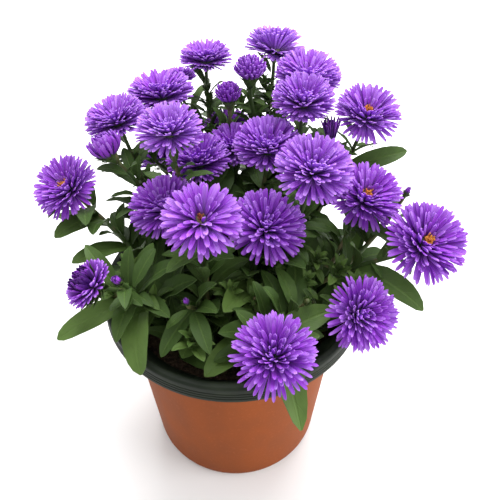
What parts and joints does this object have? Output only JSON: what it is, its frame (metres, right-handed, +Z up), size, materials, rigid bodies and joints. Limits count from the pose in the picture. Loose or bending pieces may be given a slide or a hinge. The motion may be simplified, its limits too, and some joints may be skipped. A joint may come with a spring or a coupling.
{
  "type": "potted aster",
  "caption": "Purple double aster in bloom, with branching leafy stems, buds and half-open heads, rooted in soil in a tapered nursery pot that stands on its flat base.",
  "frame": {"origin": "centre of the pot's flat base, on the surface it stands on", "axes": "+Z up along the pot's axis, -Y towards the plant's front, +X to its right seen from the front"},
  "size_m": [0.2085, 0.2183, 0.2154],
  "materials": {
    "terracotta_plastic": "matte, faintly mottled moulded plastic",
    "dark_plastic": "satin moulded plastic with fine rings",
    "potting_soil": "crumbly and dry",
    "aster_green": "soft satin leaf",
    "aster_purple": "soft petal",
    "eye_yellow": "fine matte florets"
  },
  "bodies": {
    "root": {"pot": "terracotta_plastic", "pot_lining": "dark_plastic", "soil": "potting_soil", "stem_back_left": "aster_green", "stem_back_right": "aster_green", "stem_centre": "aster_green", "stem_centre_left": "aster_green", "stem_front": "aster_green", "stem_left_behind": "aster_green", "stem_left_high": "aster_green", "stem_left_low": "aster_green", "stem_left_mid": "aster_green", "stem_left_out": "aster_green", "stem_mid": "aster_green", "stem_mid_right": "aster_green", "stem_right": "aster_green", "stem_right_high": "aster_green", "stem_right_low": "aster_green", "stem_top": "aster_green", "stem_top_left": "aster_green", "bloom_back_left": "aster_purple", "bloom_back_right": "aster_purple", "bloom_back_right_high": "aster_purple", "bloom_centre": "aster_purple", "bloom_centre_left": "aster_purple", "bloom_far_left": "aster_purple", "bloom_front": "aster_purple", "bloom_inner_back": "aster_purple", "bloom_inner_left": "aster_purple", "bloom_inner_mid": "aster_purple", "bloom_left_behind": "aster_purple", "bloom_left_high": "aster_purple", "bloom_left_mid": "aster_purple", "bloom_left_out": "aster_purple", "bloom_low_back": "aster_purple", "bloom_low_left_back": "aster_purple", "bloom_low_right_back": "aster_purple", "bloom_mid": "aster_purple", "bloom_mid_right": "aster_purple", "bloom_right_far": "aster_purple", "bloom_right_high": "aster_purple", "bloom_right_low": "aster_purple", "bloom_right_mid": "aster_purple", "bloom_top": "aster_purple", "bloom_top_left": "aster_purple", "half_bloom_left": "aster_purple", "half_bloom_low": "aster_purple", "half_bloom_mid": "aster_purple", "half_bloom_top": "aster_purple", "eye_centre_left": "eye_yellow", "eye_left_out": "eye_yellow", "eye_right_far": "eye_yellow", "eye_right_high": "eye_yellow", "eye_right_mid": "eye_yellow"}
  },
  "joints": []
}
